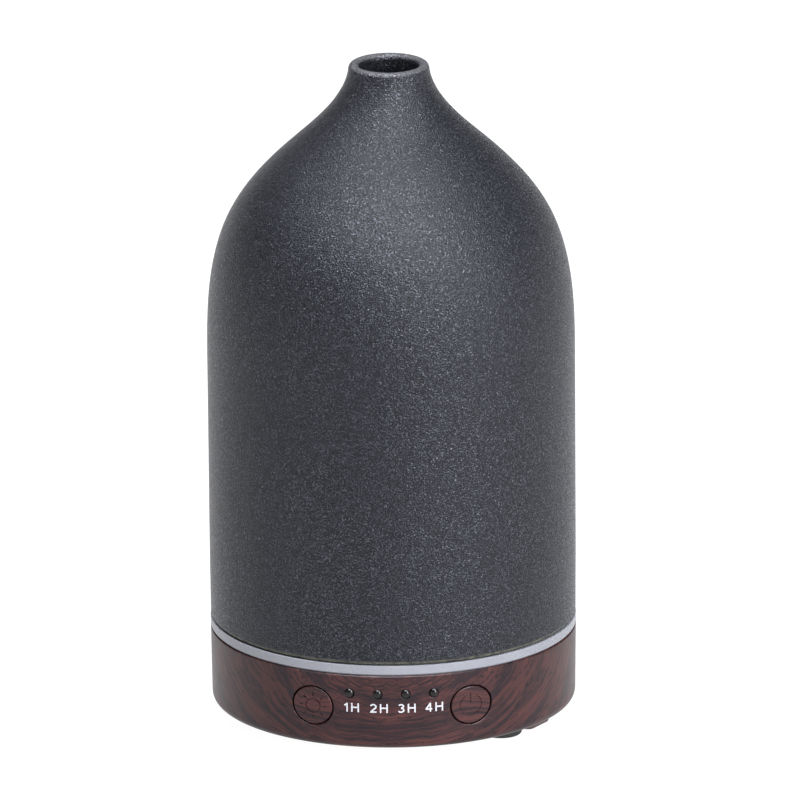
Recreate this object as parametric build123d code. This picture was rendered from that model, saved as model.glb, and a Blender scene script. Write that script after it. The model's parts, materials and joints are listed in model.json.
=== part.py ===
from build123d import *
import os
from math import cos, radians, sin, sqrt

# An ultrasonic essential-oil diffuser: a lift-off ceramic cover over a water tank, on a round
# base with two buttons, four timer lights and a translucent light ring.
# Millimetres, +Z up, front towards -Y, origin on the table under the middle of the object.
# Every (r, z) pair is a radius from the vertical axis and a height above the table.

# ---- heights of the stack ---------------------------------------------------------------
FOOT_H = 3.0
BASE_H = 19.6
RING_H = 2.6
SEAT_GAP = 0.1
TOTAL_H = 170.8

BASE_Z = FOOT_H
DECK_TOP = BASE_Z + BASE_H
RING_TOP = DECK_TOP + RING_H
SHELL_Z = RING_TOP + SEAT_GAP

# ---- base housing -----------------------------------------------------------------------
BODY_R = 46.5
BASE_LOW_R = 46.2
BASE_CORNER_R = 2.0
BASE_TOP_EDGE = 0.3
DECK_T = 2.0
DECK_UNDER = DECK_TOP - DECK_T
BASE_IN_R = 44.2
DECK_OPENING_R = 16.0
RING_GROOVE = (43.0, 44.4, 0.8)

# ---- ceramic cover ----------------------------------------------------------------------
SHELL_OUTLINE = (
    (46.42, SHELL_Z),
    (46.60, 44.0),
    (46.66, 66.0),
    (46.74, 92.0),
    (45.42, 116.6),
    (41.18, 130.3),
    (34.68, 140.0),
    (26.03, 148.8),
    (17.02, 157.3),
    (12.38, 163.5),
    (10.52, 168.2),
    (10.20, TOTAL_H),
)
SHELL_WALL = 2.7
SHELL_RIM_ROUND = 1.25
SHELL_FOOT_ROUND = 1.3
SHELL_FOOT_INNER_ROUND = 0.6
SHELL_INNER_STEPS = 24

# ---- light ring, light board ------------------------------------------------------------
RING_IN_R = 41.5
RING_CHAMFER = 0.45
RING_RIB_R = 43.0
RING_RIB_TOP = RING_TOP + 3.2
LIGHT_BOARD_R = (37.1, 41.2)
LIGHT_BOARD_T = 1.2
LIGHT_COUNT = 6
LIGHT_SIZE = (2.8, 3.4, 1.6)
LIGHT_R = 39.2
LIGHT_FIRST_ANGLE = 30
LIGHT_LENS = (1.1, 0.3)

# ---- water tank -------------------------------------------------------------------------
TANK_R = 36.5
TANK_WALL = 2.0
TANK_TOP = 80.0
TANK_FLOOR = 2.0
TANK_FLANGE = (41.3, 27.0, 28.4)
TANK_RIM_ROUND = 0.8
SUMP_R = 15.5
SUMP_BORE_R = 12.5
SUMP_CHAMFER = 1.6
SUMP_BOTTOM = 15.6
SUMP_POCKET = (11.0, 3.0)
SUMP_FLOOR = 1.5
WINDOW_R = 8.0
FILL_LINE_Z = 52.0
FILL_LINE = (0.4, 0.5)
TANK_SCREW_R = 27.0
TANK_SCREW_ANGLES = (90, 210, 330)
TANK_BOSS = (3.2, 30.0)
TANK_PILOT_TOP = 29.0
TANK_SCREW_LENGTH = 7.5
GASKET = (17.5, 19.5, 1.0)
TOWER_R = 6.5
TOWER_BORE_R = 5.0
TOWER_TOP = 70.0
TOWER_CAP = 1.5
TOWER_WINDOW = (9.0, 6.0, 8.0)
TOWER_SPIGOT = (5.8, 1.0)

# ---- inner lid --------------------------------------------------------------------------
LID_R = 38.4
LID_WALL = 1.5
LID_SKIRT_Z = 73.0
LID_SHOULDER_Z = 84.0
LID_LEDGE = 2.4
DOME_TOP = (7.0, 99.0)
DOME_END_RUN = (-1, 0.12)
DOME_NECK_H = 1.2
CHIMNEY_R = 4.5
CHIMNEY_BORE_R = 3.5
CHIMNEY_TOP = 154.0

# ---- piezo atomiser ---------------------------------------------------------------------
PIEZO_R = 10.0
PIEZO_T = 0.7
PIEZO_Z = 16.8
SEAL_LIP_R = 8.0
CLAMP_T = 1.5
CLAMP_BORE_R = 7.0
CLAMP_SCREW_R = 13.3
CLAMP_SCREW_ANGLES = (30, 150, 270)
CLAMP_SCREW_LENGTH = 5.5
CLAMP_PILOT_H = 5.0
PIEZO_PAD = (7.0, 0.15)

# ---- screws: shank radius, head radius, head height --------------------------------------
CLAMP_SCREW = (0.9, 1.7, 1.2)
TANK_SCREW = (1.3, 2.6, 1.6)
BOARD_SCREW = (1.0, 2.0, 1.3)
COVER_SCREW = (1.2, 2.6, 1.5)
SCREW_SLOT = (0.5, 0.6)
SLOT_SHARE = 1.3

# ---- fan --------------------------------------------------------------------------------
FAN_AT = (-26.5, 5.3)
FAN_SIDE = 25.0
FAN_H = 7.0
FAN_BORE_R = 11.6
FAN_CORNER_R = 2.0
FAN_HOLE = (1.3, 10.2)
FAN_SEAT_T = 1.0
FAN_SEAT_R = 5.4
FAN_SPOKE_W = 1.6
STATOR = (4.4, 3.2)
SHAFT_R = 0.75
SHAFT_FIT = 0.04
HUB_R = 6.2
HUB_WALL = 1.0
HUB_LIFT = 0.5
BLADE_COUNT = 7
BLADE_TIP_R = 11.1
BLADE_T = 0.9
BLADE_H = 4.0
BLADE_PITCH = 38.0
BLADE_STOCK = 1.5
BLADE_BITE = 1.0
ROTOR_GAP = 0.6
FAN_SPOKE_TURNS = (90, 210, 330)
FAN_SPOKE_BITE = 0.4
DUCT_PLATE_T = 1.2
DUCT_MOUTH_R = 10.8
DUCT_WALL = 1.0
DUCT_NECK_R = 4.9
DUCT_NECK_TOP = 27.0
DUCT_HOLE_R = 5.2

# ---- bottom cover and feet --------------------------------------------------------------
COVER_R = 44.0
COVER_RECESS = 0.3
COVER_T = 2.0
COVER_Z = BASE_Z + COVER_RECESS
COVER_TOP = COVER_Z + COVER_T
FOOT_R = 5.3
FOOT_AT_R = 36.0
FOOT_ANGLES = {"foot_front_right": -40.3, "foot_rear": 79.7, "foot_left": -160.3}
FOOT_ROUND = 0.8
FOOT_SOCKET = (5.4, 0.8)
SCREW_CUP = (4.2, 7.7)
SCREW_CUP_BORE = (2.8, 6.0)
COVER_SCREW_HOLE_R = 1.6
HOUSING_BOSS_R = 3.0
HOUSING_PILOT_TOP = 16.5
COVER_SCREW_TOP = 15.5
GRILLE_HOLE_R = 1.15
GRILLE_RINGS = ((0.0, 1), (3.6, 6), (7.2, 12))
LEAD_LIP_AT = ((34.3, -20.4), (37.5, -15.2))
LEAD_LIP_R = 2.0
LEAD_LIP_H = 2.6
LEAD_LIP_ROUND = 0.7
POST_R = 2.4
POST_HOLE_LOW = COVER_TOP - 0.6

# ---- boards -----------------------------------------------------------------------------
BOARD_Z = 8.0
BOARD_T = 1.6
BOARD_TOP = BOARD_Z + BOARD_T
BOARD_R = 40.5
BOARD_LEFT_X = -13.0
BOARD_FRONT_Y = -26.8
BOARD_NOTCH_R = 3.6
BOARD_SCREWS_AT = ((-9.0, -22.5), (-9.0, 22.0), (35.0, 3.0))
BOARD_SCREW_LOW = COVER_TOP - 0.2
COIL = (4.5, 3.4, 8.0, 1.1)
COIL_AT = (24.0, 12.0)
WINDING_R = 4.1
CAPACITOR = (3.2, 9.5, 0.5)
CAPACITOR_AT = (28.5, -6.0)
CAPACITOR_BAND_H = 1.6
HEAT_SINK = (16.0, 7.0, 9.0)
HEAT_SINK_AT = (17.0, 28.0)
HEAT_SINK_PLATE = 1.6
HEAT_SINK_FINS = 5
FIN_T = 1.1
TRANSISTOR = (9.0, 3.2, 8.0)
CHIP = (10.0, 6.0, 1.6)
CHIP_AT = (4.0, -17.0)
CHIP_LEG = (0.5, 1.0, 0.6)
CHIP_LEGS = 7
CHIP_STANDOFF = 0.2
DISPLAY_Y = -29.0
DISPLAY_HALF_W = 25.4
DISPLAY_Z = (8.2, 20.2)
HEADER = (13.0, 2.4, 2.6)
HEADER_PINS = 5
HEADER_PITCH = 2.54
HEADER_PIN = 0.6

# ---- buttons, switches, timer lights ----------------------------------------------------
BUTTON_X = 19.95
BUTTON_Z = BASE_Z + 10.5
BUTTON_R = 4.9
BUTTON_HOLE_R = 5.225
BUTTON_EDGE = 0.3
BUTTON_HOLE_EDGE = 0.25
TIMER_HOLE_EDGE = 0.2
COLLAR_R = 6.9
COLLAR_Y = -35.4
FLANGE_R = 6.0
FLANGE_Y = (-35.0, -34.0)
STEM_R = 2.0
PLUNGER_R = 1.6
PLUNGER_Y = (-33.4, -32.0)
SWITCH_SIDE = 6.0
SWITCH_T = 3.5
SWITCH_BORE = (1.68, 1.3)
ICON_DEPTH = 0.18
ICON_LINE = 0.32
SUN_R = 1.8
SUN_RAYS = 8
SUN_RAY = (2.5, 3.4)
POWER_R = 2.7
POWER_GAP = 62.0
POWER_BAR = (0.7, 3.1)
TIMER_PITCH = 7.1
TIMER_COUNT = 4
TIMER_Z = BASE_Z + 14.7
TIMER_HOLE_R = 1.2
TIMER_PIN_R = 1.15
TIMER_PROUD = 0.35
TIMER_DOME_R = 1.5
PIPE_BAR = (25.0, 1.2, 2.8)
PIPE_BAR_Y = -31.0
SMD = (1.6, 0.8, 1.2)
PIPE_PIN_BACK = -30.2

# ---- power inlet ------------------------------------------------------------------------
JACK_X = -8.0
JACK_BODY = (9.0, 13.0, 10.6)
JACK_BACK_Y = 42.0
JACK_NOSE = (4.0, 44.4)
JACK_HOLE_R = 4.2
JACK_HOLE_FRONT = 40.0
JACK_BORE = (2.75, 9.5)
JACK_PIN_R = 1.05
JACK_PIN_SHORT = 1.0

# ---- internal leads ---------------------------------------------------------------------
LEAD_R = 0.55
LEAD_BEND = 1.2
PIEZO_LEAD_X = (4.0, 6.0)
PIEZO_LEAD_Y = -3.0
PIEZO_LEAD_RUN = 2.6
FAN_LEAD_Y = (6.5, 9.0)
FAN_LEAD_REACH = 4.5
FAN_LEAD_RISE = 2.0
LIGHT_LEAD_HOLE_R = 1.6
LIGHT_LEAD_AT = (39.0, -8.0)
LIGHT_LEAD_SPREAD = 0.7
LIGHT_LEAD_RUN = 4.0
LIGHT_LEAD_BEND = 2.0

TOUCH = 0.05
OUTSIDE = 47.5
FULL = 400.0


# ---- helpers ----------------------------------------------------------------------------
def polar(radius, angle):
    return radius * cos(radians(angle)), radius * sin(radians(angle))


def post(radius, low, high, at=(0, 0)):
    """An upright cylinder between two heights."""
    body = Cylinder(radius, high - low, align=(Align.CENTER, Align.CENTER, Align.MIN))
    return Pos(at[0], at[1], low) * body


def tube(outer, inner, low, high, at=(0, 0)):
    return post(outer, low, high, at) - post(inner, low, high, at)


def block(size, at, low):
    """An upright box standing at a height."""
    body = Box(size[0], size[1], size[2], align=(Align.CENTER, Align.CENTER, Align.MIN))
    return Pos(at[0], at[1], low) * body


def front_plane(x, y, z):
    """A plane whose normal points to the front and whose up is +Z."""
    return Plane(origin=(x, y, z), x_dir=(1, 0, 0), z_dir=(0, -1, 0))


def peg(radius, x, z, front, back):
    """A cylinder along Y between a front and a back position."""
    body = Cylinder(radius, back - front, align=(Align.CENTER, Align.CENTER, Align.MIN))
    return front_plane(x, back, z) * body


def turned(*edges):
    """A solid of revolution from a closed (r, z) outline."""
    return revolve(Plane.XZ * make_face(edges), Axis.Z)


def screw(sizes, at, seat, length):
    """A pan-head screw driven upwards: its head hangs below the seat."""
    shank_r, head_r, head_h = sizes
    slot_w, slot_d = SCREW_SLOT
    body = post(head_r, seat - head_h, seat, at) + post(shank_r, seat, seat + length, at)
    for turn in (0, 90):
        slot = Box(head_r * SLOT_SHARE, slot_w, slot_d, align=(Align.CENTER, Align.CENTER, Align.MIN))
        body -= Pos(at[0], at[1], seat - head_h) * Rot(0, 0, turn) * slot
    return body


def lead(points, bend):
    """A round insulated wire along straight runs joined by arcs."""
    path = FilletPolyline(*points, radius=bend)
    section = Plane(origin=path @ 0, z_dir=path % 0) * Circle(LEAD_R)
    return sweep(section, path=path)


def front_edges(body, x, z, radius):
    """The edges where a round hole or pin along Y meets the outside of the base."""
    found = []
    for edge in body.edges():
        point = edge @ 0.5
        reach = sqrt((point.X - x) ** 2 + (point.Z - z) ** 2)
        proud = sqrt(point.X**2 + point.Y**2) > BASE_LOW_R - TOUCH
        if abs(reach - radius) < TOUCH and proud and point.Y < 0:
            found.append(edge)
    return found


def timer_xs():
    first = -TIMER_PITCH * (TIMER_COUNT - 1) / 2
    return [first + TIMER_PITCH * i for i in range(TIMER_COUNT)]


def outer_y(x, z):
    """The front face of the base at one place."""
    share = (z - BASE_Z) / BASE_H
    radius = BASE_LOW_R + (BODY_R - BASE_LOW_R) * share
    return -sqrt(radius**2 - x**2)


# ---- ceramic cover ----------------------------------------------------------------------
def make_ceramic_shell():
    outer = Spline(*SHELL_OUTLINE)
    inner_points = []
    for i in range(SHELL_INNER_STEPS + 1):
        share = i / SHELL_INNER_STEPS
        run = outer.tangent_at(share)
        inward = Vector(-run.Y, run.X)
        inner_points.append(outer.position_at(share) + inward * SHELL_WALL)
    inner_points[0] = Vector(inner_points[0].X, SHELL_Z)
    inner_points[-1] = Vector(inner_points[-1].X, TOTAL_H)
    inner = Spline(*inner_points)
    foot = Line(inner @ 0, outer @ 0)
    rim = Line(outer @ 1, inner @ 1)
    shell = turned(foot, outer, rim, inner)
    circles = shell.edges().filter_by(GeomType.CIRCLE).sort_by(Axis.Z)
    shell = fillet(circles[-2:], SHELL_RIM_ROUND)
    low = shell.edges().filter_by(GeomType.CIRCLE).sort_by(Axis.Z)[:2].sort_by(SortBy.RADIUS)
    shell = fillet(low[-1], SHELL_FOOT_ROUND)
    low = shell.edges().filter_by(GeomType.CIRCLE).sort_by(Axis.Z)[:2].sort_by(SortBy.RADIUS)
    return fillet(low[0], SHELL_FOOT_INNER_ROUND)


# ---- light ring and its board -----------------------------------------------------------
def make_light_ring():
    band = tube(BODY_R, RING_IN_R, DECK_TOP, RING_TOP)
    band = chamfer(band.edges().filter_by(GeomType.CIRCLE).sort_by(SortBy.RADIUS)[-1:]
                   .sort_by(Axis.Z)[-1:], RING_CHAMFER)
    rib = tube(RING_RIB_R, RING_IN_R, RING_TOP, RING_RIB_TOP)
    inner, outer, depth = RING_GROOVE
    return band + rib + tube(outer, inner, DECK_TOP - depth, DECK_TOP)


def make_light_board():
    inner, outer = LIGHT_BOARD_R
    return tube(outer, inner, DECK_TOP, DECK_TOP + LIGHT_BOARD_T)


def make_ring_leds():
    low = DECK_TOP + LIGHT_BOARD_T
    lens_r, lens_d = LIGHT_LENS
    chips = []
    for i in range(LIGHT_COUNT):
        angle = LIGHT_FIRST_ANGLE + 360 * i / LIGHT_COUNT
        chip = block(LIGHT_SIZE, (LIGHT_R, 0), low)
        lens = post(lens_r, low + LIGHT_SIZE[2] - lens_d, FULL, (LIGHT_R, 0))
        chips.append(Rot(0, 0, angle) * (chip - lens))
    return Compound(children=chips)


# ---- water tank -------------------------------------------------------------------------
def tank_screw_places():
    return [polar(TANK_SCREW_R, angle) for angle in TANK_SCREW_ANGLES]


def clamp_screw_places():
    return [polar(CLAMP_SCREW_R, angle) for angle in CLAMP_SCREW_ANGLES]


def make_air_tower():
    """The capped tube that carries the fan's air above the water, on a spigot in the tank floor."""
    low = DECK_TOP + TANK_FLOOR
    spigot_r, spigot_h = TOWER_SPIGOT
    cap_z = TOWER_TOP - TOWER_CAP
    length, width, height = TOWER_WINDOW
    tower = post(TOWER_R, low, TOWER_TOP, FAN_AT) + post(spigot_r, low - spigot_h, low, FAN_AT)
    tower -= post(TOWER_BORE_R, low - spigot_h, cap_z, FAN_AT)
    middle = (FAN_AT[0] + length / 2, FAN_AT[1])
    tower -= block((length, width, height), middle, cap_z - height)
    top_edges = tower.edges().filter_by(GeomType.CIRCLE).sort_by(Axis.Z)[-1:]
    return fillet(top_edges, TANK_RIM_ROUND)


def make_water_tank():
    floor_top = DECK_TOP + TANK_FLOOR
    tank = tube(TANK_R, TANK_R - TANK_WALL, DECK_TOP, TANK_TOP)
    tank = fillet(tank.edges().filter_by(GeomType.CIRCLE).sort_by(Axis.Z)[-2:], TANK_RIM_ROUND)
    tank += post(TANK_R, DECK_TOP, floor_top) + post(SUMP_R, SUMP_BOTTOM, floor_top)
    flange_r, flange_low, flange_high = TANK_FLANGE
    tank += tube(flange_r, TANK_R - TANK_WALL / 2, flange_low, flange_high)
    proud, height = FILL_LINE
    inner_r = TANK_R - TANK_WALL
    tank += tube(inner_r + TANK_WALL / 2, inner_r - proud, FILL_LINE_Z, FILL_LINE_Z + height)
    pocket_r, pocket_h = SUMP_POCKET
    sump_floor = SUMP_BOTTOM + pocket_h + SUMP_FLOOR
    tank -= post(SUMP_BORE_R, sump_floor, floor_top)
    tank -= post(WINDOW_R, SUMP_BOTTOM, sump_floor)
    tank -= post(pocket_r, SUMP_BOTTOM, SUMP_BOTTOM + pocket_h)
    funnel = Cone(SUMP_BORE_R, SUMP_BORE_R + SUMP_CHAMFER, SUMP_CHAMFER,
                  align=(Align.CENTER, Align.CENTER, Align.MAX))
    tank -= Pos(0, 0, floor_top) * funnel
    boss_r, boss_top = TANK_BOSS
    for place in tank_screw_places():
        tank += post(boss_r, DECK_TOP, boss_top, place)
        tank -= post(TANK_SCREW[0], DECK_TOP, TANK_PILOT_TOP, place)
    spigot_r, spigot_h = TOWER_SPIGOT
    tank -= post(TOWER_BORE_R, DECK_TOP, floor_top, FAN_AT)
    tank -= post(spigot_r, floor_top - spigot_h, floor_top, FAN_AT)
    for place in clamp_screw_places():
        tank -= post(CLAMP_SCREW[0], SUMP_BOTTOM, SUMP_BOTTOM + CLAMP_PILOT_H, place)
    inner, outer, depth = GASKET
    return tank - tube(outer, inner, DECK_TOP, DECK_TOP + depth)


def make_tank_gasket():
    inner, outer, depth = GASKET
    return tube(outer, inner, DECK_TOP, DECK_TOP + depth)


def make_tank_screws():
    places = tank_screw_places()
    return Compound(children=[screw(TANK_SCREW, p, DECK_UNDER, TANK_SCREW_LENGTH) for p in places])


# ---- inner lid --------------------------------------------------------------------------
def lid_outline(shift, chimney_r, low, top):
    """Half of the lid's outline, moved in by shift: skirt, dome and chimney."""
    skirt_r = LID_R - shift
    dome_end = (DOME_TOP[0], DOME_TOP[1] - shift)
    skirt = Line((skirt_r, low), (skirt_r, LID_SHOULDER_Z))
    dome = Spline((skirt_r, LID_SHOULDER_Z), dome_end, tangents=((0, 1), DOME_END_RUN))
    neck = Polyline(dome_end, (chimney_r, dome_end[1] + DOME_NECK_H), (chimney_r, top), (0, top))
    closing = Polyline((0, top), (0, low), (skirt_r, low))
    return turned(skirt, dome, neck, closing)


def make_inner_lid():
    ledge_z = TANK_TOP + SEAT_GAP
    skirt_in = LID_R - LID_WALL
    lid = lid_outline(0, CHIMNEY_R, LID_SKIRT_Z, CHIMNEY_TOP)
    lid -= lid_outline(LID_WALL, CHIMNEY_BORE_R, LID_SKIRT_Z, FULL)
    return lid + tube(skirt_in, skirt_in - LID_LEDGE, ledge_z, ledge_z + LID_WALL)


# ---- piezo atomiser ---------------------------------------------------------------------
def make_piezo_seal():
    pocket_r, pocket_h = SUMP_POCKET
    body = tube(pocket_r, SEAL_LIP_R, SUMP_BOTTOM, SUMP_BOTTOM + pocket_h)
    return body - post(PIEZO_R, PIEZO_Z, PIEZO_Z + PIEZO_T)


def make_piezo_disc():
    disc = post(PIEZO_R, PIEZO_Z, PIEZO_Z + PIEZO_T)
    pad_r, pad_t = PIEZO_PAD
    return disc + post(pad_r, PIEZO_Z - pad_t, PIEZO_Z)


def make_piezo_clamp():
    low = SUMP_BOTTOM - CLAMP_T
    clamp = tube(SUMP_R, CLAMP_BORE_R, low, SUMP_BOTTOM)
    for place in clamp_screw_places():
        clamp -= post(CLAMP_SCREW[0], low, SUMP_BOTTOM, place)
    return clamp


def make_clamp_screws():
    seat = SUMP_BOTTOM - CLAMP_T
    places = clamp_screw_places()
    return Compound(children=[screw(CLAMP_SCREW, p, seat, CLAMP_SCREW_LENGTH) for p in places])


# ---- base housing -----------------------------------------------------------------------
def base_block():
    """The outside of the base as one filled solid."""
    outline = Polyline((0, BASE_Z), (BASE_LOW_R, BASE_Z), (BODY_R, DECK_TOP), (0, DECK_TOP), close=True)
    solid = turned(outline)
    rims = solid.edges().filter_by(GeomType.CIRCLE).sort_by(Axis.Z)
    solid = fillet(rims[:1], BASE_CORNER_R)
    rims = solid.edges().filter_by(GeomType.CIRCLE).sort_by(Axis.Z)
    return chamfer(rims[-1:], BASE_TOP_EDGE)


def foot_places():
    return [polar(FOOT_AT_R, angle) for angle in FOOT_ANGLES.values()]


def make_base_housing():
    outside = base_block()
    housing = outside - post(BASE_IN_R, BASE_Z, DECK_UNDER)
    for x in (-BUTTON_X, BUTTON_X):
        housing += peg(COLLAR_R, x, BUTTON_Z, -BODY_R, COLLAR_Y) & outside
    for place in foot_places():
        housing += post(HOUSING_BOSS_R, SCREW_CUP[1], DECK_UNDER, place)
        housing -= post(COVER_SCREW[0], SCREW_CUP[1], HOUSING_PILOT_TOP, place)
    for x in (-BUTTON_X, BUTTON_X):
        housing -= peg(BUTTON_HOLE_R, x, BUTTON_Z, -OUTSIDE, COLLAR_Y)
        housing = fillet(front_edges(housing, x, BUTTON_Z, BUTTON_HOLE_R), BUTTON_HOLE_EDGE)
    for x in timer_xs():
        housing -= peg(TIMER_HOLE_R, x, TIMER_Z, -OUTSIDE, PIPE_BAR_Y)
        housing = fillet(front_edges(housing, x, TIMER_Z, TIMER_HOLE_R), TIMER_HOLE_EDGE)
    jack_z = BOARD_TOP + JACK_BODY[2] / 2
    housing -= peg(JACK_HOLE_R, JACK_X, jack_z, JACK_HOLE_FRONT, OUTSIDE)
    housing -= post(DECK_OPENING_R, DECK_UNDER, DECK_TOP)
    housing -= post(DUCT_HOLE_R, DECK_UNDER, DECK_TOP, FAN_AT)
    housing -= post(LIGHT_LEAD_HOLE_R, DECK_UNDER, DECK_TOP, LIGHT_LEAD_AT)
    for place in tank_screw_places():
        housing -= post(TANK_SCREW[0], DECK_UNDER, DECK_TOP, place)
    inner, outer, depth = RING_GROOVE
    return housing - tube(outer, inner, DECK_TOP - depth, DECK_TOP)


# ---- bottom cover and feet --------------------------------------------------------------
def make_bottom_cover():
    cover = post(COVER_R, COVER_Z, COVER_TOP)
    cup_r, cup_top = SCREW_CUP
    bore_r, bore_top = SCREW_CUP_BORE
    socket_r, socket_d = FOOT_SOCKET
    for place in foot_places():
        cover += post(cup_r, COVER_TOP, cup_top, place)
        cover -= post(socket_r, COVER_Z, COVER_Z + socket_d, place)
        cover -= post(bore_r, COVER_Z, bore_top, place)
        cover -= post(COVER_SCREW_HOLE_R, bore_top, cup_top, place)
    for place in BOARD_SCREWS_AT:
        cover += post(POST_R, COVER_TOP, BOARD_Z, place)
        cover -= post(BOARD_SCREW[0], POST_HOLE_LOW, BOARD_Z, place)
    for radius, count in GRILLE_RINGS:
        for i in range(count):
            dx, dy = polar(radius, 360 * i / count)
            cover -= post(GRILLE_HOLE_R, COVER_Z, COVER_TOP, (FAN_AT[0] + dx, FAN_AT[1] + dy))
    return cover + make_lead_lip()


def make_lead_lip():
    """The short rounded lip moulded under the edge, beside the front right foot."""
    (x0, y0), (x1, y1) = LEAD_LIP_AT
    run = Line((x0, y0), (x1, y1))
    lip = extrude(SlotCenterToCenter(run.length, 2 * LEAD_LIP_R), COVER_Z - BASE_Z + LEAD_LIP_H)
    lip = fillet(lip.faces().sort_by(Axis.Z)[:1].edges(), LEAD_LIP_ROUND)
    middle = run @ 0.5
    turn = Vector(1, 0, 0).get_signed_angle(run % 0.5, Vector(0, 0, 1))
    return Pos(middle.X, middle.Y, BASE_Z - LEAD_LIP_H) * Rot(0, 0, turn) * lip


def make_foot(place):
    socket_d = FOOT_SOCKET[1]
    foot = post(FOOT_R, 0, COVER_Z + socket_d, place)
    return fillet(foot.edges().filter_by(GeomType.CIRCLE).sort_by(Axis.Z)[:1], FOOT_ROUND)


def make_cover_screws():
    seat = SCREW_CUP_BORE[1]
    length = COVER_SCREW_TOP - seat
    return Compound(children=[screw(COVER_SCREW, p, seat, length) for p in foot_places()])


# ---- fan --------------------------------------------------------------------------------
def make_fan_frame():
    top = COVER_TOP + FAN_H
    frame = extrude(RectangleRounded(FAN_SIDE, FAN_SIDE, FAN_CORNER_R), FAN_H)
    frame = Pos(FAN_AT[0], FAN_AT[1], COVER_TOP) * frame
    frame -= post(FAN_BORE_R, COVER_TOP, top, FAN_AT)
    hole_r, hole_at = FAN_HOLE
    for sx in (-1, 1):
        for sy in (-1, 1):
            place = (FAN_AT[0] + sx * hole_at, FAN_AT[1] + sy * hole_at)
            frame -= post(hole_r, COVER_TOP, top, place)
    frame += post(FAN_SEAT_R, COVER_TOP, COVER_TOP + FAN_SEAT_T, FAN_AT)
    align = (Align.MIN, Align.CENTER, Align.MIN)
    for turn in FAN_SPOKE_TURNS:
        spoke = Box(FAN_BORE_R + FAN_SPOKE_BITE, FAN_SPOKE_W, FAN_SEAT_T, align=align)
        frame += Pos(FAN_AT[0], FAN_AT[1], COVER_TOP) * Rot(0, 0, turn) * spoke
    return frame


def make_fan_stator():
    radius, height = STATOR
    low = COVER_TOP + FAN_SEAT_T
    return tube(radius, SHAFT_R + SHAFT_FIT, low, low + height, FAN_AT)


def make_fan_rotor():
    low = COVER_TOP + FAN_SEAT_T + HUB_LIFT
    top = COVER_TOP + FAN_H - ROTOR_GAP
    rotor = post(HUB_R, low, top, FAN_AT) - post(HUB_R - HUB_WALL, low, top - HUB_WALL, FAN_AT)
    rotor += post(SHAFT_R, low, top - HUB_WALL / 2, FAN_AT)
    middle = (low + top) / 2
    root_r = HUB_R - HUB_WALL / 2
    sweep_band = tube(BLADE_TIP_R, root_r, low, top, FAN_AT)
    align = (Align.MIN, Align.CENTER, Align.CENTER)
    for i in range(BLADE_COUNT):
        blade = Box(BLADE_TIP_R - root_r + BLADE_BITE, BLADE_T, BLADE_H * BLADE_STOCK, align=align)
        blade = Pos(root_r, 0, 0) * Rot(BLADE_PITCH, 0, 0) * blade
        blade = Pos(FAN_AT[0], FAN_AT[1], middle) * Rot(0, 0, 360 * i / BLADE_COUNT) * blade
        rotor += blade & sweep_band
    return rotor


def make_fan_duct():
    plate_z = COVER_TOP + FAN_H
    cone_z = plate_z + DUCT_PLATE_T
    plate = extrude(RectangleRounded(FAN_SIDE, FAN_SIDE, FAN_CORNER_R), DUCT_PLATE_T)
    duct = Pos(FAN_AT[0], FAN_AT[1], plate_z) * plate
    height = DECK_UNDER - cone_z
    at_foot = Pos(FAN_AT[0], FAN_AT[1], cone_z)
    align = (Align.CENTER, Align.CENTER, Align.MIN)
    duct += at_foot * Cone(DUCT_MOUTH_R, DUCT_NECK_R, height, align=align)
    duct += post(DUCT_NECK_R, DECK_UNDER, DUCT_NECK_TOP, FAN_AT)
    duct -= at_foot * Cone(DUCT_MOUTH_R - DUCT_WALL, DUCT_NECK_R - DUCT_WALL, height, align=align)
    duct -= post(DUCT_MOUTH_R - DUCT_WALL, plate_z, cone_z, FAN_AT)
    return duct - post(DUCT_NECK_R - DUCT_WALL, DECK_UNDER, DUCT_NECK_TOP, FAN_AT)


# ---- boards -----------------------------------------------------------------------------
def make_main_board():
    board = post(BOARD_R, BOARD_Z, BOARD_TOP)
    keep = Box(FULL, FULL, FULL, align=(Align.MIN, Align.MIN, Align.CENTER))
    board &= Pos(BOARD_LEFT_X, BOARD_FRONT_Y, 0) * keep
    for place in foot_places():
        board -= post(BOARD_NOTCH_R, BOARD_Z, BOARD_TOP, place)
    for place in BOARD_SCREWS_AT:
        board -= post(BOARD_SCREW[0], BOARD_Z, BOARD_TOP, place)
    return board


def make_board_screws():
    shank_r, head_r, head_h = BOARD_SCREW
    screws = []
    for place in BOARD_SCREWS_AT:
        body = post(shank_r, BOARD_SCREW_LOW, BOARD_TOP, place)
        body += post(head_r, BOARD_TOP, BOARD_TOP + head_h, place)
        for turn in (0, 90):
            slot = Box(head_r * SLOT_SHARE, SCREW_SLOT[0], SCREW_SLOT[1] * 2)
            body -= Pos(place[0], place[1], BOARD_TOP + head_h) * Rot(0, 0, turn) * slot
        screws.append(body)
    return Compound(children=screws)


def make_driver_coil():
    flange_r, core_r, height, flange_t = COIL
    coil = post(core_r, BOARD_TOP, BOARD_TOP + height, COIL_AT)
    for low in (BOARD_TOP, BOARD_TOP + height - flange_t):
        coil += post(flange_r, low, low + flange_t, COIL_AT)
    return coil


def make_coil_winding():
    core_r, height, flange_t = COIL[1:]
    low = BOARD_TOP + flange_t
    return tube(WINDING_R, core_r, low, BOARD_TOP + height - flange_t, COIL_AT)


def make_filter_capacitor():
    radius, height, groove = CAPACITOR
    can = post(radius, BOARD_TOP, BOARD_TOP + height, CAPACITOR_AT)
    band_z = BOARD_TOP + CAPACITOR_BAND_H
    can -= tube(radius, radius - groove / 2, band_z, band_z + groove, CAPACITOR_AT)
    return fillet(can.edges().filter_by(GeomType.CIRCLE).sort_by(Axis.Z)[-1:], groove)


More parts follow.
